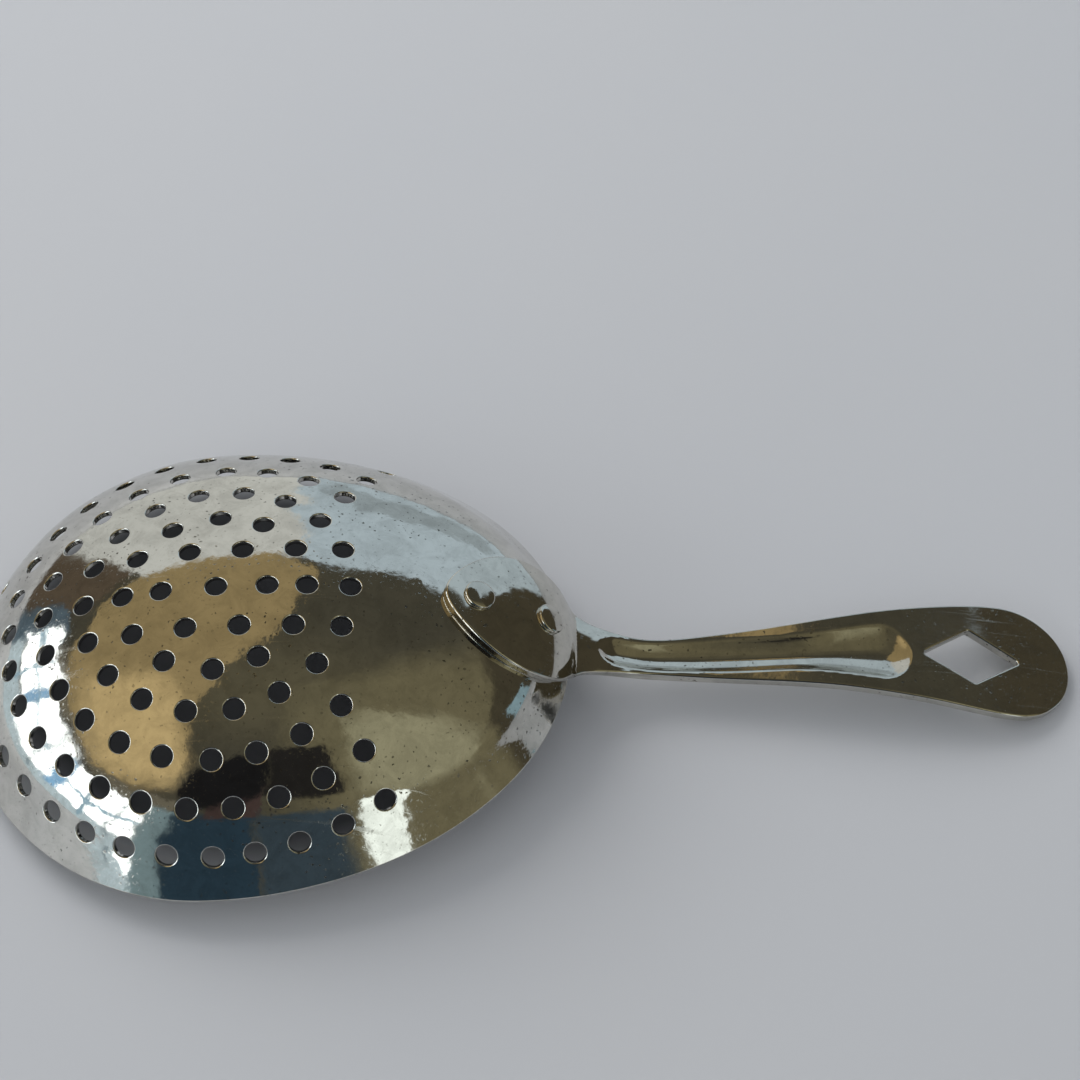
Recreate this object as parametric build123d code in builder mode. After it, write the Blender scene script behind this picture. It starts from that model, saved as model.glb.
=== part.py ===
from build123d import *

import os
from math import cos, hypot, radians, sin, sqrt

# Julep strainer, in millimetres: a perforated pressed bowl with a stamped handle riveted to its
# back. It lies face down on a table. The front of the bowl's rim and the tip of the handle touch
# the table at z = 0, +X runs along the handle, and the origin is below the middle of the box
# around the whole strainer. Lengths called "distance" are counted from the bowl's centre.

# Bowl. In plan the front half is round and the rear half is drawn out towards the handle.
OVERALL_LENGTH = 171.6
BOWL_FRONT = 39.3
BOWL_REAR = 53.4
BOWL_DEPTH = 23.8
BOWL_SHEET = 0.9
RIM_RISE = 0.072

# Hole pattern: a centre hole and rings of 6, 12, 18 and so on, spaced along the sheet.
HOLE_DIAMETER = 3.2
RING_RADII = (7.9, 13.8, 20.2, 27.2, 34.3, 41.9)
FULL_RINGS = 3
BLANK_SECTOR = 45

# Handle: a pad wrapped onto the bowl, a crease, then a neck that widens into the grip.
HANDLE_SHEET = 1.6
CREASE = 54.2
PAD_FOOT = 9.9
PAD_END_SLOPE = -1.8
PAD_OUTLINE = ((34.3, 0), (36.6, 4.6), (41, 8.4), (47, 10.2), (52, 8.6), (CREASE, 5.4))
GRIP_OUTLINE = ((51.6, 5.3), (55, 5.1), (58, 4.2), (64, 3.35), (74, 3.9), (86, 5.15), (98, 6.8), (111, 8.8),
                (117, 9.65), (122.3, 10))
GRIP_END_RADIUS = 10.0
GRIP_TOP = ((51.6, 15.1), (CREASE, 11.3), (58, 9.2), (63, 7.2), (70, 6.45), (82, 6.9), (97, 7.8),
            (110, 6.8), (121, 4.5), (132.3, 1.66), (136, 0.85))
# Parts of the grip's length where its underside is laid out, closer together at the crease.
GRIP_PARTS = (0, 0.04, 0.08, 0.14, 0.22, 0.35, 0.55, 0.75, 0.88, 1)

# Groove pressed into the neck with a round tool, ending in a wider dish.
GROOVE_START = 60.5
GROOVE_END = 101.0
GROOVE_RADIUS = 3.9
GROOVE_DEPTHS = (0.8, 0.9, 1.1, 1.3, 1.4)
GROOVE_DISH_RADIUS = 8.9

# Diamond-shaped hanging hole.
DIAMOND_CENTRE = 116.3
DIAMOND_LENGTH = 16.0
DIAMOND_WIDTH = 9.7
DIAMOND_CORNER = 0.4

# Rivets, each with a low round head on the pad and a closed tail inside the bowl.
RIVET_DISTANCES = {"rivet_front": 39.3, "rivet_rear": 50.0}
SHANK_DIAMETER = 3.0
HEAD_DIAMETER = 4.8
HEAD_HEIGHT = 0.9
HEAD_EDGE = 0.25
TAIL_DIAMETER = 4.4
TAIL_FLAT = 3.0
TAIL_HEIGHT = 0.7
SEATING = 0.3

WALK_STEP = 0.05
SLOPE_STEP = 0.01
CUT_LENGTH = 10
TALL = 60
OVERRUN = 3

front_x = -OVERALL_LENGTH / 2
bowl_x = front_x + BOWL_FRONT


def surface_height(x, y, growth=0.0):
    """Height of the bowl's outer surface, or of one that lies `growth` outside it."""
    reach = (BOWL_REAR if x > bowl_x else BOWL_FRONT) + growth
    lengthwise = (x - bowl_x) / reach
    crosswise = y / (BOWL_FRONT + growth)
    return (BOWL_DEPTH + growth) * sqrt(1 - lengthwise**2 - crosswise**2) + RIM_RISE * (x - front_x)


def surface_plane(x, y, growth=0.0):
    """Plane that touches the surface at a point seen in plan, with its normal pointing out."""
    rise_x = surface_height(x + SLOPE_STEP, y, growth) - surface_height(x - SLOPE_STEP, y, growth)
    rise_y = surface_height(x, y + SLOPE_STEP, growth) - surface_height(x, y - SLOPE_STEP, growth)
    slope_x, slope_y = rise_x / (2 * SLOPE_STEP), rise_y / (2 * SLOPE_STEP)
    origin = (x, y, surface_height(x, y, growth))
    return Plane(origin=origin, x_dir=(1, 0, slope_x), z_dir=(-slope_x, -slope_y, 1))


def walk(angle, length):
    """Point in plan that is reached by going a length along the sheet from the bowl's centre."""
    step_x, step_y = WALK_STEP * cos(radians(angle)), WALK_STEP * sin(radians(angle))
    x, y, travelled = bowl_x, 0.0, 0.0
    while travelled < length:
        rise = surface_height(x + step_x, y + step_y) - surface_height(x, y)
        travelled += hypot(WALK_STEP, rise)
        x, y = x + step_x, y + step_y
    return x, y


def hole_planes():
    """Tangent planes of all the holes in the bowl."""
    planes = [surface_plane(bowl_x, 0)]
    for ring, radius in enumerate(RING_RADII, start=1):
        pitch = 60 / ring
        for place in range(6 * ring):
            angle = place * pitch
            from_handle = min(angle, 360 - angle)
            if ring <= FULL_RINGS or from_handle >= BLANK_SECTOR:
                planes.append(surface_plane(*walk(angle, radius)))
    return planes


def dome(growth):
    """Solid under the bowl's outer surface, or one `growth` outside it, to a little below the rim."""
    width, height = BOWL_FRONT + growth, BOWL_DEPTH + growth
    with BuildPart() as front:
        Sphere(1, arc_size1=-OVERRUN, align=None)
        split(bisect_by=Plane.YZ, keep=Keep.BOTTOM)
        scale(by=(BOWL_FRONT + growth, width, height))
    with BuildPart() as whole:
        Sphere(1, arc_size1=-OVERRUN, align=None)
        split(bisect_by=Plane.YZ, keep=Keep.TOP)
        scale(by=(BOWL_REAR + growth, width, height))
        add(front.part)
    lean = Matrix([[1, 0, 0, bowl_x], [0, 1, 0, 0], [RIM_RISE, 0, 1, RIM_RISE * BOWL_FRONT]])
    return whole.part.transform_geometry(lean)


def placed(points):
    """Points whose first value is a distance, moved to their place in the frame."""
    return [(bowl_x + distance, offset) for distance, offset in points]


rivet_seats = {
    name: surface_plane(bowl_x + distance, 0, HANDLE_SHEET) for name, distance in RIVET_DISTANCES.items()
}
seat_locations = [seat.location for seat in rivet_seats.values()]

with BuildPart() as bowl_block:
    add(dome(0))

with BuildPart() as bowl:
    add(bowl_block.part)
    add(dome(-BOWL_SHEET), mode=Mode.SUBTRACT)
    with Locations(*[plane.location for plane in hole_planes()]):
        Cylinder(HOLE_DIAMETER / 2, CUT_LENGTH, mode=Mode.SUBTRACT)
    with Locations(*seat_locations):
        Cylinder(SHANK_DIAMETER / 2, CUT_LENGTH, mode=Mode.SUBTRACT)
    split(bisect_by=Plane(origin=(front_x, 0, 0), z_dir=(-RIM_RISE, 0, 1)))
bowl.part.label = "bowl"

with BuildLine() as grip_top:
    Spline(*placed(GRIP_TOP))


def grip_height(x):
    """Height of the grip's top surface on its centreline."""
    plumb = Edge.make_line((x, 0), (x, TALL))
    return grip_top.line.distance_to_with_closest_points(plumb)[1].Y


def groove_tool(growth):
    """Round tool that presses the groove, or one that lies `growth` outside it."""
    pitch = (GROOVE_END - GROOVE_START) / (len(GROOVE_DEPTHS) - 1)
    path_points = []
    for step, depth in enumerate(GROOVE_DEPTHS):
        x = bowl_x + GROOVE_START + step * pitch
        path_points.append((x, 0, grip_height(x) - depth + GROOVE_RADIUS))
    dish_centre = path_points[-1][2] - GROOVE_RADIUS + GROOVE_DISH_RADIUS
    with BuildPart() as tool:
        with BuildLine() as path:
            Spline(*path_points)
        with BuildSketch(Plane(path.line @ 0, z_dir=path.line % 0)):
            Circle(GROOVE_RADIUS + growth)
        sweep()
        with Locations(path_points[0]):
            Sphere(GROOVE_RADIUS + growth)
        with Locations((path_points[-1][0], 0, dish_centre)):
            Sphere(GROOVE_DISH_RADIUS + growth)
    return tool.part


with BuildPart() as pad:
    with BuildSketch():
        with BuildLine():
            edge = Spline(*placed(PAD_OUTLINE), tangents=((0, 1), (1, PAD_END_SLOPE)))
            Line(edge @ 1, (bowl_x + CREASE, 0))
            mirror(about=Plane.XZ)
        make_face()
    extrude(amount=TALL)
    add(dome(HANDLE_SHEET), mode=Mode.INTERSECT)
    split(bisect_by=Plane.XY.offset(PAD_FOOT))

start, end = grip_top.line @ 0, grip_top.line @ 1


def grip_underside(part):
    """Point on the sheet's underside, square to the top at a part of its length."""
    return grip_top.line @ part - HANDLE_SHEET * (grip_top.line % part).rotate(Axis.Z, 90)


with BuildPart() as under_top:
    with BuildSketch(Plane.XZ):
        with BuildLine():
            add(grip_top.line)
            Polyline(end, (end.X, -CUT_LENGTH), (start.X, -CUT_LENGTH), start)
        make_face()
    extrude(amount=BOWL_FRONT, both=True)

with BuildPart() as grip_sheet:
    with BuildSketch(Plane.XZ):
        with BuildLine():
            add(grip_top.line)
            underside = Spline(*[grip_underside(part) for part in GRIP_PARTS])
            Line(start, underside @ 0)
            Line(underside @ 1, end)
        make_face()
    extrude(amount=BOWL_FRONT, both=True)

with BuildPart() as groove_back:
    add(groove_tool(HANDLE_SHEET))
    add(under_top.part, mode=Mode.INTERSECT)

with BuildPart() as handle:
    with BuildSketch():
        with BuildLine():
            edge = Spline(*placed(GRIP_OUTLINE), tangents=((1, 0), (1, 0)))
            RadiusArc(edge @ 1, edge @ 1 + (GRIP_END_RADIUS, -GRIP_END_RADIUS), GRIP_END_RADIUS)
            Line((bowl_x + GRIP_OUTLINE[0][0], 0), edge @ 0)
            mirror(about=Plane.XZ)
        make_face()
    extrude(amount=TALL)
    add(grip_sheet.part, mode=Mode.INTERSECT)
    add(groove_back.part)
    add(pad.part)
    add(groove_tool(0), mode=Mode.SUBTRACT)
    add(bowl_block.part, mode=Mode.SUBTRACT)
    with BuildSketch():
        with Locations((bowl_x + DIAMOND_CENTRE, 0)):
            long, wide = DIAMOND_LENGTH / 2, DIAMOND_WIDTH / 2
            diamond = Polygon((-long, 0), (0, -wide), (long, 0), (0, wide))
        fillet(diamond.vertices(), DIAMOND_CORNER)
    extrude(amount=TALL, mode=Mode.SUBTRACT)
    with Locations(*seat_locations):
        Cylinder(SHANK_DIAMETER / 2, CUT_LENGTH, mode=Mode.SUBTRACT)
handle.part.label = "handle"


def rivet(seat):
    """Rivet whose head sits on the pad and whose tail is closed on the inside of the bowl."""
    head, tail, shank = HEAD_DIAMETER / 2, TAIL_DIAMETER / 2, SHANK_DIAMETER / 2
    inside = -HANDLE_SHEET - BOWL_SHEET
    with BuildPart() as piece:
        with BuildSketch(Plane(seat.origin, x_dir=seat.x_dir, z_dir=-seat.y_dir)):
            with BuildLine():
                crown = TangentArc((0, HEAD_HEIGHT), (head, HEAD_EDGE), tangent=(1, 0))
                Polyline(
                    crown @ 1,
                    (head, -SEATING),
                    (shank, -SEATING),
                    (shank, inside + SEATING),
                    (tail, inside + SEATING),
                    (tail, inside - TAIL_HEIGHT / 2),
                    (TAIL_FLAT / 2, inside - TAIL_HEIGHT),
                    (0, inside - TAIL_HEIGHT),
                    crown @ 0,
                )
            make_face()
        revolve(axis=Axis(seat.origin, seat.z_dir))
        add(handle.part, mode=Mode.SUBTRACT)
        add(bowl.part, mode=Mode.SUBTRACT)
    return piece.part


os.makedirs("parts", exist_ok=True)
export_step(bowl.part, "parts/bowl.step")
export_step(handle.part, "parts/handle.step")
for name, seat in rivet_seats.items():
    with BuildPart() as fastener:
        add(rivet(seat))
    fastener.part.label = name
    export_step(fastener.part, f"parts/{name}.step")
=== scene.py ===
"""A perforated chrome julep strainer lying face down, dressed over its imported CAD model."""

from math import atan2, cos, hypot, pi, radians, sin, sqrt

import bpy
import numpy as np
from mathutils import Matrix, Vector
from mathutils.geometry import delaunay_2d_cdt


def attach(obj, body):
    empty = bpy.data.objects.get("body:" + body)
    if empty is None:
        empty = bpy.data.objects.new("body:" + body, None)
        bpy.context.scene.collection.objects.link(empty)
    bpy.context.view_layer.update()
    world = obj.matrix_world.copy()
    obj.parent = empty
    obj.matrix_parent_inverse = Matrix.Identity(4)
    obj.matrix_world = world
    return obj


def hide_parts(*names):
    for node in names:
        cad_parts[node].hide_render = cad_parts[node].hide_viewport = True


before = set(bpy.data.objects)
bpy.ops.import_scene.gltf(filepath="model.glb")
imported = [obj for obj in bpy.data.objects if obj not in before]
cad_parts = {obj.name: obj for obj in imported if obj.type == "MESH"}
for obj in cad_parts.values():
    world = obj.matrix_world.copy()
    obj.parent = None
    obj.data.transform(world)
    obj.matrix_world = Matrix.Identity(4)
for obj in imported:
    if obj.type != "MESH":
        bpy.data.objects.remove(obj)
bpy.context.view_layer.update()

MM = 0.001

# Bowl, in millimetres. Lengths called "distance" are counted from the bowl's centre along the handle.
OVERALL_LENGTH = 171.6
BOWL_FRONT = 39.3
BOWL_REAR = 53.4
BOWL_DEPTH = 23.8
BOWL_SHEET = 0.9
RIM_RISE = 0.072
RIM_EDGE = 0.3
HALVES_BLEND = 0.06
FRONT_X = -OVERALL_LENGTH / 2
BOWL_X = FRONT_X + BOWL_FRONT

# The walls run straight from SKIRT_START down, instead of turning upright, except at the bowl's front.
SKIRT_START = radians(66)
SKIRT_BLEND = (radians(53), radians(77))
SKIRT_FRONT = (-0.1, 0.5)
SKIRT_REAR = (-0.6, 0.35)
SKIRT_LIFT = 2.7
SKIRT_SPREAD = 0.044

HOLE_RADIUS = 1.6
HOLE_EDGE = 0.2
RING_RADII = (7.9, 13.8, 20.2, 27.2, 34.3, 41.9)
FULL_RINGS = 3
BLANK_SECTOR = 45

# Handle.
HANDLE_SHEET = 1.6
HANDLE_EDGE = 0.35
CREASE_SOFTNESS = 0.8
GRIP_TOP = ((50, 14.3), (54.2, 11.3), (58, 9.2), (63, 7.2), (70, 6.45), (82, 6.9), (97, 7.8), (110, 6.8),
            (121, 4.5), (132.3, 1.66), (136, 0.85))
TIP_CENTRE = 122.3
TIP_RADIUS = 10.0
HALF_OUTLINE = ((117, 9.65), (111, 8.8), (98, 6.8), (86, 5.15), (74, 3.9), (64, 3.35), (58, 4.2),
                (54.4, 5.7), (52, 8.5), (47, 10.2), (41, 8.4), (36.6, 4.6))
PAD_FRONT = 34.3
ROLL = 0.035
ROLL_FADE = (78, 106)
CROWN = 0.03
CROWN_FADE = (56, 62)
GROOVE_WIDTH = ((54, 2.3), (60, 2.4), (80, 3.0), (92, 3.5), (98, 4.4), (103, 5.0), (110, 5.0))
GROOVE_DEPTH = ((54, 0.9), (60.5, 0.95), (80, 1.2), (101, 1.5), (110, 1.5))
GROOVE_ENDS = (60.7, 101.6)
GROOVE_END_LENGTHS = (3.2, 5.0)
GROOVE_SHOULDER = 0.22
GROOVE_FAR_POWER = 1.4
DIAMOND_CENTRE = 116.3
DIAMOND_LENGTH = 16.0
DIAMOND_WIDTH = 9.7
DIAMOND_CORNER = 0.45

RIVET_DISTANCES = {"rivet_front": 39.3, "rivet_rear": 50.0}
HEAD_RADIUS = 2.4
HEAD_HEIGHT = 0.8
HEAD_EDGE = 0.3
SHANK_RADIUS = 1.5
TAIL_RADIUS = 2.2
TAIL_HEIGHT = 0.7

# Meshes. The rings along an edge lie at EDGE_STEPS from it. BOWL_PITCH is in the bowl's domain, in radians.
EDGE_STEPS = (0, 0.05, 0.12, 0.2, 0.33, 0.6)
HANDLE_STEPS = tuple(step * HANDLE_EDGE / HOLE_EDGE for step in EDGE_STEPS[:-1])
BOWL_PITCH = 0.025
HOLE_SEGMENTS = 32
HOLE_CLEARANCE = 0.45
RIM_SEGMENTS = 420
RIM_CLEARANCE = 1.6 * BOWL_PITCH
HANDLE_PITCH = 0.38
HANDLE_SPACING = 0.45
HANDLE_CLEARANCE = HANDLE_PITCH * 0.6
DIAMOND_SPACING = 0.4
RIVET_SEGMENTS = 48


# ---------------------------------------------------------------- shapes as functions

def smooth_step(low, high, value):
    part = np.clip((value - low) / (high - low), 0, 1)
    return part * part * (3 - 2 * part)


def smooth_max(one, other, width):
    """The larger of two heights, with the corner between them rounded over a width."""
    overlap = np.maximum(width - np.abs(one - other), 0) / width
    return np.maximum(one, other) + overlap**2 * width / 4


def curve(points):
    """Natural cubic spline through (x, y) points, as a function of x that stays level past its ends."""
    x, y = np.array(points, float).T
    gaps, rises = np.diff(x), np.diff(y) / np.diff(x)
    system, right = np.eye(len(x)), np.zeros(len(x))
    for k in range(1, len(x) - 1):
        system[k, k - 1 : k + 2] = gaps[k - 1], 2 * (gaps[k - 1] + gaps[k]), gaps[k]
        right[k] = 6 * (rises[k] - rises[k - 1])
    bend = np.linalg.solve(system, right)

    def value(at):
        at = np.clip(at, x[0], x[-1])
        k = np.clip(np.searchsorted(x, at) - 1, 0, len(x) - 2)
        left, over = at - x[k], x[k + 1] - at
        return (
            (bend[k] * over**3 + bend[k + 1] * left**3) / (6 * gaps[k])
            + (y[k] / gaps[k] - bend[k] * gaps[k] / 6) * over
            + (y[k + 1] / gaps[k] - bend[k + 1] * gaps[k] / 6) * left
        )

    return value


def ripple_field(seed, wavelength, amplitude, count=14):
    """Gentle unevenness of hand-finished metal, as a function of 3-D points in millimetres."""
    rng = np.random.default_rng(seed)
    ways = rng.normal(size=(count, 3))
    lengths = wavelength * rng.uniform(0.7, 1.6, (count, 1))
    ways *= 2 * pi / (lengths * np.linalg.norm(ways, axis=1)[:, None])
    phases = rng.uniform(0, 2 * pi, count)
    return lambda points: amplitude * np.sin(points @ ways.T + phases).sum(axis=1) / sqrt(count)


bowl_ripple = ripple_field(3, 13, 0.03)
handle_ripple = ripple_field(8, 11, 0.02)


def bowl_outer(uv):
    """Outer surface. The domain is a disc: its radius is the angle from the top of a unit dome."""
    angle, turn = np.hypot(*uv.T), np.arctan2(uv[:, 1], uv[:, 0])
    radial, height = np.sin(angle), np.cos(angle)
    run = (angle - SKIRT_START) / (pi / 2 - SKIRT_START)
    sides = np.abs(np.sin(turn))
    share = np.where(np.cos(turn) > 0, smooth_step(*SKIRT_REAR, sides), smooth_step(*SKIRT_FRONT, sides))
    share = share * smooth_step(*SKIRT_BLEND, angle)
    rim_radial, rim_height = 1 + SKIRT_SPREAD * np.sin(turn) ** 2, SKIRT_LIFT / BOWL_DEPTH
    radial = radial + share * (sin(SKIRT_START) + run * (rim_radial - sin(SKIRT_START)) - radial)
    height = height + share * (cos(SKIRT_START) + run * (rim_height - cos(SKIRT_START)) - height)
    across, sideways = radial * np.cos(turn), radial * np.sin(turn)
    rear = (across + np.sqrt(across**2 + HALVES_BLEND**2) - sqrt(1 + HALVES_BLEND**2) + 1) / 2
    x = BOWL_X + BOWL_FRONT * across + (BOWL_REAR - BOWL_FRONT) * rear
    points = np.stack((x, BOWL_FRONT * sideways, BOWL_DEPTH * height + RIM_RISE * (x - FRONT_X)), 1)
    out = np.stack((across / BOWL_REAR, sideways / BOWL_FRONT, height / BOWL_DEPTH), 1)
    out /= np.linalg.norm(out, axis=1)[:, None]
    return points + out * bowl_ripple(points)[:, None]


def bowl_inner(uv):
    return bowl_outer(uv) - BOWL_SHEET * normals(bowl_outer, uv)


def derivatives(surface, uv, step=2e-4):
    """How a surface's points move along each axis of its domain."""
    along, across = np.array((step, 0)), np.array((0, step))
    return (
        (surface(uv + along) - surface(uv - along)) / (2 * step),
        (surface(uv + across) - surface(uv - across)) / (2 * step),
    )


def normals(surface, uv):
    normal = np.cross(*derivatives(surface, uv))
    return normal / np.linalg.norm(normal, axis=1)[:, None]


def dome_height(distance, y, growth):
    """Height of the bowl's outer surface grown outwards, far below everything where it has ended."""
    room = 1 - (distance / (BOWL_REAR + growth)) ** 2 - (y / (BOWL_FRONT + growth)) ** 2
    lean = RIM_RISE * (distance + BOWL_FRONT)
    return np.where(room > 0, (BOWL_DEPTH + growth) * np.sqrt(np.maximum(room, 0)) + lean, -TIP_CENTRE)


grip_top = curve(GRIP_TOP)
groove_width = curve(GROOVE_WIDTH)
groove_depth = curve(GROOVE_DEPTH)


def groove(distance, y, widening=0.0):
    """Depth of the pressed groove, which has rounded ends and a gentler wall on its far side."""
    before = (GROOVE_ENDS[0] - distance) / (GROOVE_END_LENGTHS[0] + widening)
    after = (distance - GROOVE_ENDS[1]) / (GROOVE_END_LENGTHS[1] + widening)
    across = np.abs(y) / (groove_width(distance) + widening)
    wall = np.where(y > 0, across**GROOVE_FAR_POWER, across**2)
    outside = np.maximum(np.maximum(before, after), 0) ** 2 + wall
    return smooth_max(groove_depth(distance) * (1 - outside), np.zeros_like(y), GROOVE_SHOULDER)


def handle_blank(uv):
    """Top of the handle before its groove is pressed. The domain is (distance, y) in plan."""
    distance, y = uv.T
    crown = CROWN * y**2 * (1 - smooth_step(*CROWN_FADE, distance))
    height = smooth_max(dome_height(distance, y, HANDLE_SHEET), grip_top(distance) - crown, CREASE_SOFTNESS)
    points = np.stack((BOWL_X + distance, y, height), 1)
    points[:, 2] += handle_ripple(points) + ROLL * y * smooth_step(*ROLL_FADE, distance)
    return points


def handle_top(uv):
    points = handle_blank(uv)
    points[:, 2] -= groove(*uv.T)
    return points


def handle_under(uv):
    points = handle_blank(uv) - HANDLE_SHEET * normals(handle_blank, uv)
    points[:, 2] -= groove(*uv.T, widening=1.0)
    return points


# ---------------------------------------------------------------- meshes

def make_object(name, points, faces, vertex_normals, materials, slot, node, sides=None):
    """Object made of points in millimetres, in the place of one CAD node."""
    mesh = bpy.data.meshes.new(name)
    mesh.from_pydata([tuple(p) for p in points * MM], [], faces)
    mesh.update()
    for polygon in mesh.polygons:
        polygon.use_smooth = True
    if vertex_normals is not None:
        mesh.normals_split_custom_set_from_vertices([tuple(n) for n in vertex_normals])
    for material in materials:
        mesh.materials.append(material)
    if sides is not None:
        mesh.polygons.foreach_set("material_index", sides)
    made = bpy.data.objects.new(name, mesh)
    bpy.context.collection.objects.link(made)
    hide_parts(node)
    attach(made, "root")
    return made


def hex_grid(low, high, pitch):
    """Points at an even pitch in staggered rows."""
    rows = np.arange(low[1], high[1], pitch * sqrt(3) / 2)
    points = []
    for number, row in enumerate(rows):
        columns = np.arange(low[0] + (number % 2) * pitch / 2, high[0], pitch)
        points.append(np.stack((columns, np.full_like(columns, row)), 1))
    return np.concatenate(points)


def inside(points, polygon):
    """Which points lie inside a closed polygon."""
    found = np.zeros(len(points), bool)
    for (x0, y0), (x1, y1) in zip(polygon, np.roll(polygon, -1, axis=0)):
        if y0 != y1:
            crosses = (y0 > points[:, 1]) != (y1 > points[:, 1])
            found ^= crosses & (points[:, 0] < x0 + (points[:, 1] - y0) * (x1 - x0) / (y1 - y0))
    return found


def rounded_rings(surface, rings, distances, edge, facing):
    """Points and normals of the rings along an edge of the sheet, with that edge rounded over."""
    count = len(rings[0])
    flat = np.concatenate(rings)
    points = surface(flat).reshape(len(rings), count, 3)
    normal = facing * normals(surface, flat).reshape(len(rings), count, 3)
    outward = points[0] - points[-1]
    for row, distance in enumerate(distances):
        out = outward - (outward * normal[row]).sum(1)[:, None] * normal[row]
        out /= np.linalg.norm(out, axis=1)[:, None]
        lean = max(edge - distance, 0) / edge
        upright = sqrt(1 - lean**2)
        points[row] -= normal[row] * edge * (1 - upright)
        normal[row] = normal[row] * upright + out * lean
    return points.reshape(-1, 3), normal.reshape(-1, 3)


def thin_sheet(top, under, loops, distances, fill, edge):
    """Points, faces, normals and sides of a closed sheet between two surfaces.

    Each loop is (rings on top, rings under). The first one is the outline, the others are holes."""
    count_rings = len(distances)
    points, normal = {True: [], False: []}, {True: [], False: []}
    starts, total = [], 0
    for top_rings, under_rings in loops:
        starts.append(total)
        total += count_rings * len(top_rings[0])
        for upper, surface, rings, facing in ((True, top, top_rings, 1), (False, under, under_rings, -1)):
            ring_points, ring_normals = rounded_rings(surface, rings, distances, edge, facing)
            points[upper].append(ring_points)
            normal[upper].append(ring_normals)
    for upper, surface, facing in ((True, top, 1), (False, under, -1)):
        points[upper].append(surface(fill))
        normal[upper].append(facing * normals(surface, fill))
    side = total + len(fill)

    # The middle is triangulated between the innermost rings.
    flat, owner, constraints, labels = [], [], [], []
    for number, (start, (top_rings, _)) in enumerate(zip(starts, loops)):
        count, first = len(top_rings[0]), len(owner)
        flat.extend(top_rings[-1])
        owner.extend(start + (count_rings - 1) * count + k for k in range(count))
        labels.extend([number] * count)
        constraints.extend((first + k, first + (k + 1) % count) for k in range(count))
    flat.extend(fill)
    owner.extend(range(total, side))
    labels.extend([-1] * len(fill))
    owner, labels, plane = np.array(owner), np.array(labels), np.array(flat)
    scale = np.abs(plane).max()
    result = delaunay_2d_cdt([Vector(p) for p in plane / scale], constraints, [], 0, 1e-7, True)
    sources = np.array([ids[0] for ids in result[3]])
    triangles = sources[np.array(result[2])]
    marks = labels[triangles]
    in_hole = (marks[:, 0] > 0) & (marks[:, 0] == marks[:, 1]) & (marks[:, 0] == marks[:, 2])
    keep = ~in_hole & inside(plane[triangles].mean(axis=1), loops[0][0][-1])
    upper_faces = [tuple(owner[t]) for t in triangles[keep]]

    walls = []
    for number, (start, (top_rings, _)) in enumerate(zip(starts, loops)):
        count = len(top_rings[0])
        for k in range(count):
            after = (k + 1) % count
            for row in range(count_rings - 1):
                here, further = start + row * count, start + (row + 1) * count
                quad = (here + k, here + after, further + after, further + k)
                upper_faces.append(quad if number == 0 else quad[::-1])
            wall = (side + start + k, side + start + after, start + after, start + k)
            walls.append(wall if number == 0 else wall[::-1])
    faces = upper_faces + [tuple(side + v for v in face[::-1]) for face in upper_faces] + walls
    sides = [0] * len(upper_faces) + [1] * len(upper_faces) + [0] * len(walls)
    all_points = np.concatenate(points[True] + points[False])
    all_normals = np.concatenate(normal[True] + normal[False])
    return all_points, [tuple(int(v) for v in face) for face in faces], all_normals, sides


# ---------------------------------------------------------------- bowl

def ellipsoid_height(x, y):
    reach = BOWL_REAR if x > BOWL_X else BOWL_FRONT
    dome = BOWL_DEPTH * sqrt(1 - ((x - BOWL_X) / reach) ** 2 - (y / BOWL_FRONT) ** 2)
    return dome + RIM_RISE * (x - FRONT_X)


def walk(angle, length, step=0.05):
    """Point in plan that is reached by going a length along the sheet from the bowl's centre."""
    x, y, travelled = BOWL_X, 0.0, 0.0
    while travelled < length:
        next_x, next_y = x + step * cos(angle), y + step * sin(angle)
        travelled += hypot(step, ellipsoid_height(next_x, next_y) - ellipsoid_height(x, y))
        x, y = next_x, next_y
    return x, y


def dome_place(x, y):
    """Domain point of the bowl that lies near a point in plan."""
    across = (x - BOWL_X) / (BOWL_REAR if x > BOWL_X else BOWL_FRONT)
    sideways = y / BOWL_FRONT
    angle, turn = np.arcsin(hypot(across, sideways)), atan2(sideways, across)
    return angle * cos(turn), angle * sin(turn)


def tangent_axes(normal):
    """Two directions square to each normal and to each other."""
    first = np.cross((0, 1, 0), normal)
    first /= np.linalg.norm(first, axis=1)[:, None]
    return first, np.cross(normal, first)


def place_on(surface, start, origin, first, second, offsets, rounds=6):
    """Domain points whose surface points lie at the given offsets from an axis through each origin."""
    uv = start.copy()
    for _ in range(rounds):
        gap = surface(uv) - origin
        miss = offsets - np.stack(((gap * first).sum(1), (gap * second).sum(1)), 1)
        du, dv = derivatives(surface, uv)
        a, b = (du * first).sum(1), (dv * first).sum(1)
        c, d = (du * second).sum(1), (dv * second).sum(1)
        det = a * d - b * c
        uv += np.stack((d * miss[:, 0] - b * miss[:, 1], a * miss[:, 1] - c * miss[:, 0]), 1) / det[:, None]
    return uv


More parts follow.
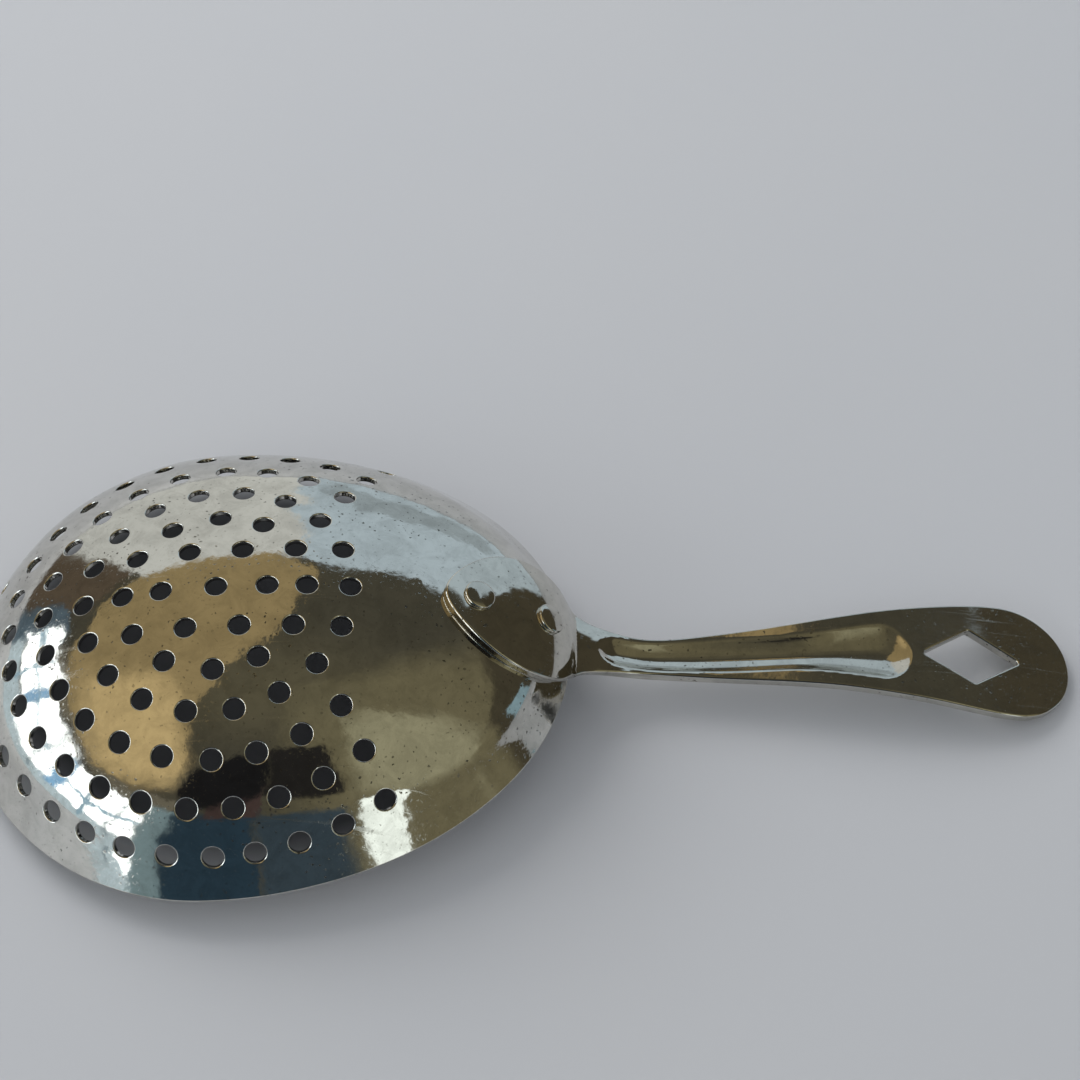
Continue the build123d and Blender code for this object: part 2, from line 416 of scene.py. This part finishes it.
def hole_loops():
    """Rings around each hole on the outer and the inner surface, and the holes' centres."""
    seats = [dome_place(BOWL_X, 0)]
    for ring, radius in enumerate(RING_RADII, start=1):
        for place in range(6 * ring):
            angle = place * 60 / ring
            if ring <= FULL_RINGS or min(angle, 360 - angle) >= BLANK_SECTOR:
                seats.append(dome_place(*walk(radians(angle), radius)))
    seats = np.array(seats)
    centres, axes = bowl_outer(seats), normals(bowl_outer, seats)
    first, second = tangent_axes(axes)
    turns = np.linspace(0, 2 * pi, HOLE_SEGMENTS, endpoint=False)
    circle = np.stack((np.cos(turns), np.sin(turns)), 1)
    offsets = np.concatenate([circle * (HOLE_RADIUS + step) for step in EDGE_STEPS])
    each, per_hole = len(seats), len(offsets)
    spread = [np.repeat(values, per_hole, axis=0) for values in (seats, centres, first, second)]
    wanted = np.tile(offsets, (each, 1))
    found = [place_on(surface, *spread, wanted) for surface in (bowl_outer, bowl_inner)]
    shaped = [uv.reshape(each, len(EDGE_STEPS), HOLE_SEGMENTS, 2) for uv in found]
    return [(list(shaped[0][k]), list(shaped[1][k])) for k in range(each)], centres


def rim_rings(surface):
    """Rings along the bowl's rim, whose distances from it are stretched to the rim's larger rounding."""
    turns = np.linspace(0, 2 * pi, RIM_SEGMENTS, endpoint=False)
    circle = np.stack((np.cos(turns), np.sin(turns)), 1)
    small = 0.01
    pace = np.linalg.norm(surface(circle * pi / 2) - surface(circle * (pi / 2 - small)), axis=1) / small
    return [circle * (pi / 2 - step * RIM_EDGE / HOLE_EDGE / pace)[:, None] for step in EDGE_STEPS]


def build_bowl(materials):
    holes, centres = hole_loops()
    grid = hex_grid((-pi / 2, -pi / 2), (pi / 2, pi / 2), BOWL_PITCH)
    grid = grid[np.hypot(*grid.T) < pi / 2 - RIM_CLEARANCE]
    gaps = np.linalg.norm(bowl_outer(grid)[:, None] - centres[None], axis=2).min(axis=1)
    grid = grid[gaps > HOLE_RADIUS + EDGE_STEPS[-1] + HOLE_CLEARANCE]
    loops = [(rim_rings(bowl_outer), rim_rings(bowl_inner))] + holes
    *sheet, sides = thin_sheet(bowl_outer, bowl_inner, loops, EDGE_STEPS, grid, HOLE_EDGE)
    return make_object("bowl_shell", *sheet, materials, "bowl_chrome", "bowl", sides)


# ---------------------------------------------------------------- handle

def spaced_line(points, spacing):
    """Points at an even spacing on a smooth line through the given ones."""
    points = np.array(points, float)
    along = np.concatenate(((0,), np.cumsum(np.linalg.norm(np.diff(points, axis=0), axis=1))))
    lines = [curve(np.stack((along, values), 1)) for values in points.T]
    fine = np.linspace(0, along[-1], 4000)
    dense = np.stack([line(fine) for line in lines], 1)
    travelled = np.concatenate(((0,), np.cumsum(np.linalg.norm(np.diff(dense, axis=0), axis=1))))
    even = np.linspace(0, travelled[-1], int(travelled[-1] / spacing) + 1)
    return np.stack([np.interp(even, travelled, values) for values in dense.T], 1)


def handle_outline():
    turns = [radians(degrees) for degrees in range(0, 91, 10)]
    arc = [(TIP_CENTRE + TIP_RADIUS * cos(turn), TIP_RADIUS * sin(turn)) for turn in turns]
    half = arc + list(HALF_OUTLINE)
    mirrored = [(x, -y) for x, y in half[::-1]]
    return spaced_line(half + [(PAD_FRONT, 0)] + mirrored, HANDLE_SPACING)[:-1]


def diamond_outline():
    long, wide = DIAMOND_LENGTH / 2, DIAMOND_WIDTH / 2
    slope = atan2(wide, long)
    corners, facings = ((long, 0), (0, wide), (-long, 0), (0, -wide)), (0, pi / 2, pi, 3 * pi / 2)
    points = []
    for (x, y), facing, half_turn in zip(corners, facings, (pi / 2 - slope, slope) * 2):
        back = DIAMOND_CORNER / cos(half_turn)
        centre = (x - back * cos(facing), y - back * sin(facing))
        for part in np.linspace(-half_turn, half_turn, 9):
            points.append((centre[0] + DIAMOND_CORNER * cos(facing + part),
                           centre[1] + DIAMOND_CORNER * sin(facing + part)))
    points = np.array(points)
    full = []
    for here, after in zip(points, np.roll(points, -1, axis=0)):
        steps = max(1, round(float(np.linalg.norm(after - here)) / DIAMOND_SPACING))
        full.extend(here + (after - here) * k / steps for k in range(steps))
    return np.array(full) + (DIAMOND_CENTRE, 0)


def inset_rings(outline, steps, inwards):
    """Copies of an outline that runs anticlockwise, moved into the sheet by each step."""
    ahead = np.roll(outline, -1, axis=0) - np.roll(outline, 1, axis=0)
    left = np.stack((-ahead[:, 1], ahead[:, 0]), 1) / np.linalg.norm(ahead, axis=1)[:, None]
    return [outline + inwards * left * step for step in steps]


def build_handle(material):
    outline = inset_rings(handle_outline(), HANDLE_STEPS, 1)
    diamond = inset_rings(diamond_outline(), HANDLE_STEPS, -1)
    grid = hex_grid((PAD_FRONT, -11), (TIP_CENTRE + TIP_RADIUS, 11), HANDLE_PITCH)
    for rings, keep_inside in ((outline, True), (diamond, False)):
        grid = grid[inside(grid, rings[-1]) == keep_inside]
        gaps = np.linalg.norm(grid[:, None] - rings[-1][None], axis=2).min(axis=1)
        grid = grid[gaps > HANDLE_CLEARANCE]
    loops = [(outline, outline), (diamond, diamond)]
    *sheet, _ = thin_sheet(handle_top, handle_under, loops, HANDLE_STEPS, grid, HANDLE_EDGE)
    return make_object("handle_stamping", *sheet, [material], "handle_chrome", "handle")


# ---------------------------------------------------------------- rivets

def build_rivet(name, distance, seed, material):
    """Rivet turned from one outline: a low hammered head, a shank and a closed tail inside the bowl."""
    seat = np.array(((distance, 0.0),))
    origin, axis = handle_blank(seat), normals(handle_blank, seat)
    first, second = tangent_axes(axis)
    rim_drop = -HANDLE_SHEET - BOWL_SHEET
    head = [(HEAD_RADIUS * sin(a), HEAD_EDGE + (HEAD_HEIGHT - HEAD_EDGE) * cos(a) ** 0.6)
            for a in np.linspace(0.0001, pi / 2 - 0.02, 12)]
    sides = [(HEAD_RADIUS + 0.02, HEAD_EDGE - 0.1), (HEAD_RADIUS - 0.02, 0), (HEAD_RADIUS - 0.2, -0.25),
             (SHANK_RADIUS, -0.3), (SHANK_RADIUS, rim_drop + 0.3), (TAIL_RADIUS - 0.15, rim_drop + 0.2)]
    tail = [(TAIL_RADIUS * cos(a) ** 0.6, rim_drop - 0.05 - (TAIL_HEIGHT - 0.05) * sin(a)) for a in
            np.linspace(0.0, pi / 2 - 0.002, 9)]
    profile = np.array(head + sides + tail)
    dents = ripple_field(seed, 2.6, 0.03)
    points = []
    for radius, height in profile:
        for k in range(RIVET_SEGMENTS):
            turn = 2 * pi * k / RIVET_SEGMENTS
            spot = np.array(((radius * cos(turn), radius * sin(turn), height),))
            uneven = dents(spot)[0] * min(1.0, radius / HEAD_RADIUS + 0.35)
            spread = radius * (1 + 0.25 * uneven)
            lift = height + (uneven if height > HEAD_EDGE - 0.05 or height < rim_drop else 0)
            aside = first * spread * cos(turn) + second * spread * sin(turn)
            points.append((origin + aside + axis * lift)[0])
    faces = [tuple(range(RIVET_SEGMENTS))]
    for row in range(len(profile) - 1):
        here, further = row * RIVET_SEGMENTS, (row + 1) * RIVET_SEGMENTS
        for k in range(RIVET_SEGMENTS):
            after = (k + 1) % RIVET_SEGMENTS
            faces.append((here + k, further + k, further + after, here + after))
    last = (len(profile) - 1) * RIVET_SEGMENTS
    faces.append(tuple(last + k for k in range(RIVET_SEGMENTS))[::-1])
    return make_object(name + "_piece", np.array(points), faces, None, [material], "rivet_chrome", name)


# ---------------------------------------------------------------- materials

def linear(hex_colour, gain=1.0):
    """Linear colour of an sRGB hex value such as "b0a080"."""
    parts = [int(hex_colour[k : k + 2], 16) / 255 for k in (0, 2, 4)]
    return tuple(gain * (p / 12.92 if p <= 0.04045 else ((p + 0.055) / 1.055) ** 2.4) for p in parts) + (1,)


class Tree:
    """Adds nodes to a node tree. A socket given as a value is linked, anything else is set."""

    def __init__(self, tree):
        self.tree = tree
        tree.nodes.clear()

    def add(self, kind, values=(), **settings):
        made = self.tree.nodes.new(kind)
        for key, value in settings.items():
            setattr(made, key, value)
        for key, value in dict(values).items():
            if isinstance(value, bpy.types.NodeSocket):
                self.tree.links.new(value, made.inputs[key])
            else:
                made.inputs[key].default_value = value
        return made

    def math(self, operation, one, other=0.0):
        return self.add("ShaderNodeMath", {0: one, 1: other}, operation=operation).outputs[0]

    def remap(self, value, low, high, to_low=0.0, to_high=1.0, smooth=True):
        return self.add(
            "ShaderNodeMapRange",
            {"Value": value, "From Min": low, "From Max": high, "To Min": to_low, "To Max": to_high},
            interpolation_type="SMOOTHSTEP" if smooth else "LINEAR",
        ).outputs["Result"]

    def mix(self, factor, one, other):
        made = self.add("ShaderNodeMix", {0: factor, 6: one, 7: other}, data_type="RGBA")
        return made.outputs[2]

    def noise(self, vector, scale, detail=2.0, roughness=0.5, distortion=0.0):
        values = {"Vector": vector, "Scale": scale, "Detail": detail, "Roughness": roughness,
                  "Distortion": distortion}
        return self.add("ShaderNodeTexNoise", values).outputs["Fac"]

    def stretched(self, vector, turn, scale):
        """The vector turned about Z and stretched, for marks that run one way."""
        return self.add("ShaderNodeMapping", {"Vector": vector, "Rotation": (0, 0, radians(turn)),
                                              "Scale": scale}).outputs[0]


def chrome(name, tone, peel, pitting, scratching, haze, floor=0.035):
    """Worn bright plating: orange peel, fine pits, hairline scratches and faint smears."""
    material = bpy.data.materials.new(name)
    material.use_nodes = True
    tree = Tree(material.node_tree)
    place = tree.add("ShaderNodeTexCoord").outputs["Object"]
    peel_height = tree.math("MULTIPLY", tree.noise(place, 420, 2.0, 0.45), peel)
    fine_height = tree.math("MULTIPLY", tree.noise(place, 1500, 2.0, 0.5), peel * 0.16)
    specks = tree.add("ShaderNodeTexVoronoi", {"Vector": place, "Scale": 1100.0, "Randomness": 1.0})
    sizes = tree.remap(tree.noise(place, 2300, 1.0), 0.35, 0.72, 0.0, 0.40)
    patches = tree.remap(tree.noise(place, 120, 3.0, 0.6), 0.42, 0.62)
    pit = tree.remap(tree.math("SUBTRACT", specks.outputs["Distance"], sizes), 0.0, -0.16)
    pit = tree.math("MULTIPLY", pit, tree.math("ADD", tree.math("MULTIPLY", patches, 0.75), 0.25))
    scratch = None
    for turn, offset in ((17, 0.3), (-38, 0.7), (74, 0.1)):
        way = tree.stretched(place, turn, (14, 900, 90))
        line = tree.remap(tree.noise(way, 1.0, 3.0, 0.6, offset), 0.665, 0.70)
        scratch = line if scratch is None else tree.math("MAXIMUM", scratch, line)
    scratch = tree.math("MULTIPLY", scratch, tree.remap(tree.noise(place, 45, 2.0), 0.4, 0.62))
    smear = tree.remap(tree.noise(place, 30, 4.0, 0.62, 0.8), 0.4, 0.75)
    film = tree.remap(tree.noise(place, 260, 6.0, 0.72, 0.5), 0.36, 0.68)
    dust = tree.remap(tree.noise(place, 1900, 2.0, 0.5), 0.63, 0.70)
    height = tree.math("ADD", peel_height, fine_height)
    for mark, depth in ((pit, pitting), (scratch, scratching)):
        height = tree.math("SUBTRACT", height, tree.math("MULTIPLY", mark, depth))
    bump = tree.add("ShaderNodeBump", {"Height": height, "Strength": 1.0, "Distance": 1e-5}).outputs[0]
    worn = linear(tone)
    for mark, amount, stain in ((film, 0.42, "9d9b95"), (smear, 0.12, "8f8b82"), (pit, 0.8, "3a3832")):
        worn = tree.mix(tree.math("MULTIPLY", mark, amount), worn, linear(stain))
    rough = tree.math("ADD", tree.math("MULTIPLY", smear, haze), floor)
    for mark, amount in ((film, haze * 0.7), (pit, 0.25), (dust, 0.1), (scratch, 0.12)):
        rough = tree.math("ADD", rough, tree.math("MULTIPLY", mark, amount))
    shader = tree.add("ShaderNodeBsdfPrincipled", {"Base Color": worn, "Metallic": 1.0, "Roughness": rough,
                                                   "Normal": bump})
    tree.add("ShaderNodeOutputMaterial", {"Surface": shader.outputs[0]})
    return material


def floor_material():
    """Plain pale floor with hardly any unevenness."""
    material = bpy.data.materials.new("pale_floor")
    material.use_nodes = True
    tree = Tree(material.node_tree)
    place = tree.add("ShaderNodeTexCoord").outputs["Object"]
    tint = tree.mix(tree.noise(place, 9.0, 4.0), linear("d2d3d6"), linear("d8d7d7"))
    shader = tree.add("ShaderNodeBsdfPrincipled", {"Base Color": tint, "Roughness": 0.55})
    tree.add("ShaderNodeOutputMaterial", {"Surface": shader.outputs[0]})
    return material


# ---------------------------------------------------------------- room

# The plating reflects about 60% of the room, so the room is brighter by this factor.
SHEEN = 1 / 0.60
# Patches of the room around the table, each in front of the ones before it. Azimuth is 0 straight ahead
# and 90 on the handle's side. Each has a colour, a gain, a softness in degrees, and its lower and upper
# edges as (azimuth, elevation) points.
PATCHES = (
    ("5d5844", 1.0, 30, ((70, -20), (170, -20)), ((70, 84), (170, 84))),
    ("827f68", 1.0, 14, ((112, 20), (119, 8), (140, 18), (150, 30)),
     ((112, 56), (119, 69), (140, 73), (150, 60))),
    ("3a362b", 1.0, 6, ((44, -25), (108, -25)), ((44, 44), (70, 44), (94, 36), (108, 24))),
    ("7f7050", 1.0, 1.5,
     ((-139, 53), (-130, 41), (-105, 34), (-80, 30), (-62, 34), (-40, 36), (-5, 44), (6, 50)),
     ((-139, 60), (-117, 71), (-80, 78), (-40, 77), (-10, 70), (0, 62), (6, 52))),
    ("aa966c", 1.0, 13, ((-143, 46), (-120, 38), (-95, 36), (-72, 40)),
     ((-143, 58), (-120, 66), (-95, 70), (-72, 62))),
    ("abadaa", 1.0, 1.6, ((-37, -30), (1, -30)), ((-37, 37), (-20, 42), (1, 45))),
    ("99a7b0", 1.0, 1.6, ((0, -30), (46, -30)), ((0, 45), (12, 47.5), (22, 44), (46, 41))),
    ("828d93", 1.0, 2.5, ((3, 1), (9, 7), (22, 2), (30, 5)), ((3, 12), (9, 18), (22, 15), (30, 10))),
    ("4a4136", 1.0, 1.5, ((-51, -20), (-37, -20)), ((-51, 33), (-37, 33))),
    ("46545e", 1.0, 2, ((-61, -20), (-51, -20)), ((-61, 30), (-51, 26))),
    ("a6b6be", 1.0, 3, ((-146, -30), (-60, -30)), ((-146, 8), (-60, 8))),
    ("f2f8fa", 2.2, 1.2, ((-141, 5), (-107, 7)), ((-141, 34), (-120, 31), (-107, 28))),
    ("f2f8fa", 2.2, 1.2, ((-103, 8), (-80, 7)), ((-103, 29), (-80, 28))),
    ("f2f8fa", 2.2, 1.2, ((-76, 10), (-58, 9)), ((-76, 30), (-58, 27))),
    ("6f97b8", 1.2, 1.5, ((-107, 6), (-102, 6)), ((-107, 27), (-102, 27))),
    ("6a90b0", 1.2, 1.5, ((-80, 6), (-76, 6)), ((-80, 26), (-76, 26))),
    ("5f7078", 1.0, 1.0, ((-133, 2), (-131.6, 2)), ((-133, 33), (-131.6, 33))),
    ("7d97a6", 1.0, 1.0, ((-122, 2), (-119.5, 2)), ((-122, 31), (-119.5, 31))),
    ("5f7078", 1.0, 1.0, ((-95, 2), (-93.8, 2)), ((-95, 29), (-93.8, 29))),
    ("7d97a6", 1.0, 1.0, ((-68.5, 2), (-67, 2)), ((-68.5, 28), (-67, 28))),
    ("87a3b4", 1.0, 1.2, ((-141, 17), (-107, 15.5)), ((-141, 19.5), (-107, 18))),
    ("87a3b4", 1.0, 1.2, ((-103, 19), (-58, 17)), ((-103, 20.5), (-58, 19))),
    ("5a564a", 1.0, 1.5, ((-150, 34), (-104, 32), (-60, 29)), ((-150, 41), (-104, 34), (-60, 31))),
    ("66787d", 1.0, 4, ((-153, -20), (-141, -20)), ((-153, 34), (-141, 34))),
    ("22313c", 1.0, 5, ((-180, -30), (-152, -30)), ((-180, 40), (-152, 34))),
    ("2f3a42", 1.0, 5, ((158, -30), (180, -30)), ((158, 24), (180, 36))),
    ("3b302e", 1.0, 3, ((-180, 33), (-164, 33)), ((-180, 50), (-164, 44))),
    ("161617", 1.0, 3, ((-180, 45), (-160, 40), (-148, 44)), ((-180, 66), (-160, 64), (-148, 54))),
    ("1e1d1c", 1.0, 3, ((158, 40), (180, 44)), ((158, 66), (180, 68))),
    ("d0d8d4", 1.3, 1.2, ((144, -8), (154, -8)), ((144, 22), (154, 28))),
    ("6f858e", 1.0, 2, ((84, -27), (99, -27)), ((84, 14), (99, 18))),
    ("a4a7ab", 1.0, 8, ((-190, -90), (190, -90)), ((-190, -9), (190, -9))),
)


def build_world():
    """Room light without lamps: what the chrome reflects, and a plain pale backdrop for the camera."""
    world = bpy.data.worlds.new("room")
    bpy.context.scene.world = world
    world.use_nodes = True
    tree = Tree(world.node_tree)
    way = tree.add("ShaderNodeTexCoord").outputs["Generated"]
    axes = tree.add("ShaderNodeSeparateXYZ", {0: way}).outputs
    azimuth = tree.math("MULTIPLY", tree.math("ARCTAN2", axes[0], axes[1]), 180 / pi)
    elevation = tree.math("MULTIPLY", tree.math("ARCSINE", axes[2]), 180 / pi)
    wobble_az = tree.remap(tree.noise(way, 7.0, 2.0), 0.0, 1.0, -4.0, 4.0, smooth=False)
    wobble_el = tree.remap(tree.noise(way, 6.0, 3.0, 0.6, 0.4), 0.0, 1.0, -5.0, 5.0, smooth=False)
    azimuth, elevation = tree.math("ADD", azimuth, wobble_az), tree.math("ADD", elevation, wobble_el)
    overhead = tree.remap(elevation, 60, 90)
    colour = tree.mix(overhead, linear("3c3a31", SHEEN), linear("4d493a", SHEEN))
    for tone, gain, softness, lower, upper in PATCHES:
        first, last = lower[0][0], lower[-1][0]
        part = tree.remap(azimuth, first, last, smooth=False)
        edges = []
        for points in (lower, upper):
            ramp = tree.add("ShaderNodeValToRGB", {"Fac": part})
            stops = ramp.color_ramp.elements
            while len(stops) > 1:
                stops.remove(stops[-1])
            for number, (at, height) in enumerate(points):
                spot = (at - first) / (last - first)
                stop = stops[0] if number == 0 else stops.new(spot)
                stop.position = spot
                stop.color = ((height + 90) / 180,) * 3 + (1,)
            edges.append(tree.math("SUBTRACT", tree.math("MULTIPLY", ramp.outputs["Color"], 180.0), 90.0))
        half = softness / 2
        mask = tree.remap(azimuth, first - half, first + half)
        mask = tree.math("MULTIPLY", mask, tree.remap(azimuth, last + half, last - half))
        for high, low in ((elevation, edges[0]), (edges[1], elevation)):
            above = tree.remap(tree.math("SUBTRACT", high, low), -half, half)
            mask = tree.math("MULTIPLY", mask, above)
        colour = tree.mix(mask, colour, linear(tone, gain * SHEEN))
    room = tree.add("ShaderNodeBackground", {"Color": colour, "Strength": 1.0}).outputs[0]
    plain = tree.add("ShaderNodeBackground", {"Color": linear("d4d5d8"), "Strength": 1.0}).outputs[0]
    light = tree.add("ShaderNodeBackground", {"Color": linear("e6ebf2"), "Strength": 0.48}).outputs[0]
    path = tree.add("ShaderNodeLightPath").outputs
    shown = tree.add("ShaderNodeMixShader", {0: path["Is Diffuse Ray"], 1: room, 2: light}).outputs[0]
    shown = tree.add("ShaderNodeMixShader", {0: path["Is Camera Ray"], 1: shown, 2: plain}).outputs[0]
    tree.add("ShaderNodeOutputWorld", {"Surface": shown})


def soft_light(name, position, target, size, power, colour):
    """Large soft studio light that the chrome doesn't show."""
    data = bpy.data.lights.new(name, "AREA")
    data.shape, data.size, data.size_y = "RECTANGLE", size[0], size[1]
    data.energy, data.color = power, colour
    lamp = bpy.data.objects.new(name, data)
    bpy.context.collection.objects.link(lamp)
    lamp.location = position
    lamp.rotation_euler = (Vector(target) - Vector(position)).to_track_quat("-Z", "Y").to_euler()
    lamp.visible_glossy = False
    return lamp


def build_floor():
    mesh = bpy.data.meshes.new("floor")
    reach, below = 3.0, -0.00003
    corners = [(x * reach, y * reach, below) for x, y in ((-1, -1), (1, -1), (1, 1), (-1, 1))]
    mesh.from_pydata(corners, [], [(0, 1, 2, 3)])
    mesh.materials.append(floor_material())
    floor = bpy.data.objects.new("floor", mesh)
    bpy.context.collection.objects.link(floor)


def build_shade():
    """Dark card on the floor under the bowl, painted shade, so that the holes look as deep as they are.

    It fades to the floor's colour at its rim."""
    centre, side, long, wide, height = BOWL_X + 7, 4.6, 44.5, 37.0, 0.00005
    rings, segments = 12, 64
    # Painted shade under the bowl, dark in the middle and fading to the floor's colour at the rim.
    dark, pale = linear("626367"), linear("d2d3d6")
    points, colours = [(centre * MM, side * MM, height)], [dark]
    for ring in range(1, rings + 1):
        part = ring / rings
        fade = smooth_step(0.86, 1.0, part)
        tone = [a + (b - a) * fade for a, b in zip(dark, pale)]
        for k in range(segments):
            turn = 2 * pi * k / segments
            x, y = centre + long * part * cos(turn), side + wide * part * sin(turn)
            points.append((x * MM, y * MM, height))
            colours.append(tone)
    faces = [(0, 1 + k, 1 + (k + 1) % segments) for k in range(segments)]
    for ring in range(rings - 1):
        here, further = 1 + ring * segments, 1 + (ring + 1) * segments
        for k in range(segments):
            after = (k + 1) % segments
            faces.append((here + k, further + k, further + after, here + after))
    mesh = bpy.data.meshes.new("shade")
    mesh.from_pydata(points, [], faces)
    layer = mesh.color_attributes.new("tone", "FLOAT_COLOR", "POINT")
    layer.data.foreach_set("color", [value for tone in colours for value in tone])
    material = bpy.data.materials.new("shade_card")
    material.use_nodes = True
    tree = Tree(material.node_tree)
    tone = tree.add("ShaderNodeVertexColor", layer_name="tone").outputs["Color"]
    shader = tree.add("ShaderNodeBsdfPrincipled", {"Base Color": tone, "Roughness": 0.55})
    tree.add("ShaderNodeOutputMaterial", {"Surface": shader.outputs[0]})
    mesh.materials.append(material)
    shade = bpy.data.objects.new("shade", mesh)
    bpy.context.collection.objects.link(shade)


def build_camera():
    """Camera fitted to the photo's outline and holes, with angles in degrees and lengths in millimetres."""
    azimuth, elevation, roll = radians(-4.02), radians(53.27), radians(2.64)
    target, range_mm = Vector((3.25, 25.59, 2.81)), 404.96
    back = Vector((sin(azimuth) * cos(elevation), -cos(azimuth) * cos(elevation), sin(elevation)))
    level = Vector((cos(azimuth), sin(azimuth), 0))
    upright = back.cross(level)
    right = level * cos(roll) + upright * sin(roll)
    up = upright * cos(roll) - level * sin(roll)
    data = bpy.data.cameras.new("camera")
    data.sensor_width, data.lens = 36.0, 83.33
    data.clip_start, data.clip_end = 0.01, 20
    camera = bpy.data.objects.new("camera", data)
    bpy.context.collection.objects.link(camera)
    rows = Matrix((right, up, back)).transposed().to_4x4()
    camera.matrix_world = Matrix.Translation((target + back * range_mm) * MM) @ rows
    bpy.context.scene.camera = camera


# Each plating has a colour, then how strong its orange peel, pits, scratches and haze are.
bowl_plating = chrome("bowl_plating", "d6d4ce", 2.2, 0.5, 0.14, 0.05)
handle_plating = chrome("handle_plating", "cfccc4", 1.2, 0.6, 0.14, 0.06)
rivet_plating = chrome("rivet_plating", "c9c6be", 1.2, 0.5, 0.10, 0.08)
# The inner plating is rougher than the outside, and its dark colour is painted shade that keeps the view
# through the holes dark.
dull_inside_painted_shade = chrome("dull_inside_painted_shade", "5f5c56", 1.8, 0.5, 0.14, 0.16, floor=0.14)
build_bowl([bowl_plating, dull_inside_painted_shade])
build_handle(handle_plating)
for seed, (rivet, distance) in enumerate(RIVET_DISTANCES.items(), start=21):
    build_rivet(rivet, distance, seed, rivet_plating)
build_floor()
build_shade()
build_world()
soft_light("key", (-0.5, 0.62, 0.6), (0, 0, 0), (0.7, 0.7), 4.6, (0.98, 0.99, 1.0))
build_camera()
bpy.context.scene.view_settings.view_transform = "Standard"
